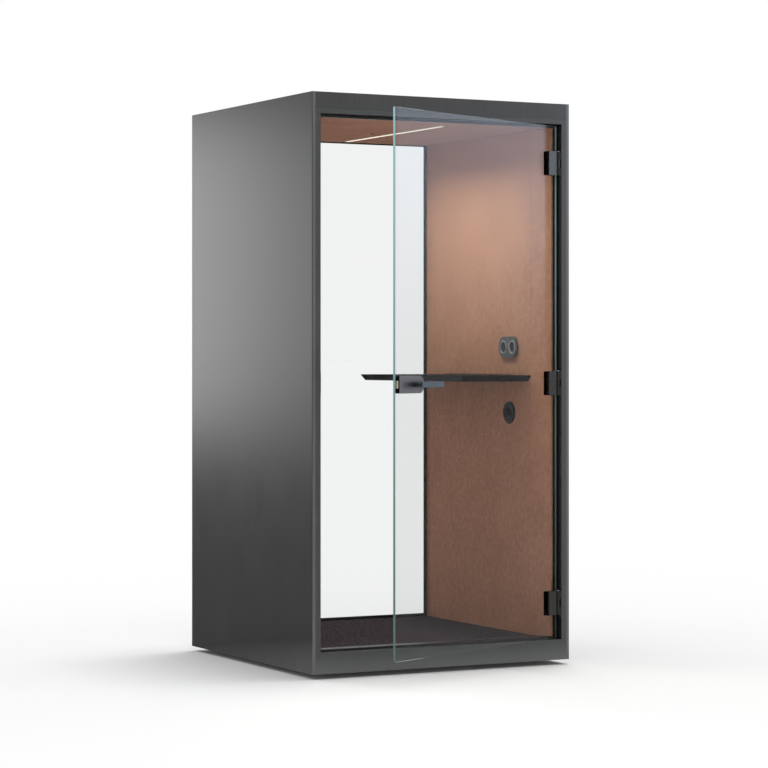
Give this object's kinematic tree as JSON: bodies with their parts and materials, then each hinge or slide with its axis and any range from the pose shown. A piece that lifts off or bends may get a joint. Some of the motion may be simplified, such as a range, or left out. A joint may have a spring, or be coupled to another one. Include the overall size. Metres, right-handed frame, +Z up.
{
  "type": "acoustic office pod",
  "caption": "Free-standing one-person acoustic booth with a hinged glass door, glass rear wall, felt-lined cabin, wall table, ceiling light and roof fan.",
  "frame": {"origin": "on the floor under the middle of the pod's body, on the bottom of the centre foot", "axes": "+Z up; the door side faces -Y, the table is on the +X wall; rest pose has the door open as pictured"},
  "size_m": [1.15, 1.6012, 2.25],
  "materials": {
    "panel_paint": "satin dark grey powder coat",
    "frame_paint": "satin dark grey powder coat",
    "black_frame": "matt black powder coat",
    "seal_rubber": "matt",
    "foot_rubber": "matt",
    "clear_glass": "clear, polished edges",
    "felt": "pressed felt, terracotta brown",
    "wool_core": "mineral wool board",
    "carpet": "short loop pile, charcoal",
    "deck_board": "coated board",
    "aluminium": "anodised satin",
    "diffuser": "opal, lit warm white",
    "hinge_metal": "satin dark blue-grey",
    "lock_metal": "satin grey",
    "lever_metal": "satin dark blue-grey",
    "steel": "bare satin",
    "black_laminate": "matt black laminate",
    "grey_plastic": "moulded, fine grain",
    "black_plastic": "moulded"
  },
  "bodies": {
    "pod": {"left_side_panel": "panel_paint", "right_side_panel": "panel_paint", "roof_panel": "panel_paint", "head_fascia": "panel_paint", "floor_deck": "deck_board", "carpet": "carpet", "threshold_strip": "aluminium", "front_left_foot": "foot_rubber", "front_right_foot": "foot_rubber", "rear_left_foot": "foot_rubber", "rear_right_foot": "foot_rubber", "centre_foot": "foot_rubber", "door_frame_head": "frame_paint", "door_frame_sill": "frame_paint", "door_frame_left": "frame_paint", "door_frame_right": "frame_paint", "door_seal": "seal_rubber", "strike_plate": "steel", "rear_frame_left": "black_frame", "rear_frame_right": "black_frame", "rear_frame_head": "black_frame", "rear_frame_sill": "black_frame", "rear_glass": "clear_glass", "left_wall_core": "wool_core", "right_wall_core": "wool_core", "left_felt_panel": "felt", "right_felt_panel": "felt", "left_front_felt": "felt", "right_front_felt": "felt", "ceiling_panel": "felt", "light_channel": "aluminium", "light_diffuser": "diffuser", "ceiling_sensor": "black_plastic", "fan_housing": "black_plastic", "power_supply": "lock_metal", "table_top": "black_laminate", "table_bracket": "steel", "socket_plate": "grey_plastic", "socket_module": "grey_plastic", "cable_port": "black_plastic", "hinge_leaf_bottom": "hinge_metal", "hinge_leaf_middle": "hinge_metal", "hinge_leaf_top": "hinge_metal", "hinge_pin_bottom": "steel", "hinge_pin_middle": "steel", "hinge_pin_top": "steel"},
    "door": {"door_glass": "clear_glass", "hinge_clamp_bottom": "hinge_metal", "hinge_clamp_middle": "hinge_metal", "hinge_clamp_top": "hinge_metal", "hinge_plate_bottom": "hinge_metal", "hinge_plate_middle": "hinge_metal", "hinge_plate_top": "hinge_metal", "lock_case": "lock_metal", "lock_back_plate": "lock_metal"},
    "levers": {"outer_lever": "lever_metal", "inner_lever": "lever_metal", "lock_spindle": "steel"},
    "latch": {"latch_bolt": "steel"},
    "fan": {"fan_rotor": "black_plastic"}
  },
  "joints": [
    {"name": "door_swing", "type": "hinge", "parent": "pod", "child": "door", "pos_m": [0.527, -0.567, 1.1], "axis": [0, 0, 1], "range_deg": [-24.8, 75.2]},
    {"name": "lever_turn", "type": "hinge", "parent": "door", "child": "levers", "pos_m": [-0.35858, -0.96298, 1.132], "axis": [-0.4195, 0.9078, 0], "range_deg": [0, 40], "stiffness_Nm_per_rad": 1.2, "springref_deg": -28.65},
    {"name": "latch_slide", "type": "slide", "parent": "door", "child": "latch", "axis": [0.9078, 0.4195, 0], "range_m": [0, 0.012]},
    {"name": "fan_spin", "type": "hinge", "parent": "pod", "child": "fan", "pos_m": [-0.275, 0.225, 2.18], "axis": [0, 0, 1], "continuous": true}
  ],
  "couplings": [
    {"joint": "latch_slide", "follows": "lever_turn", "m_per_rad": 0.0171}
  ]
}
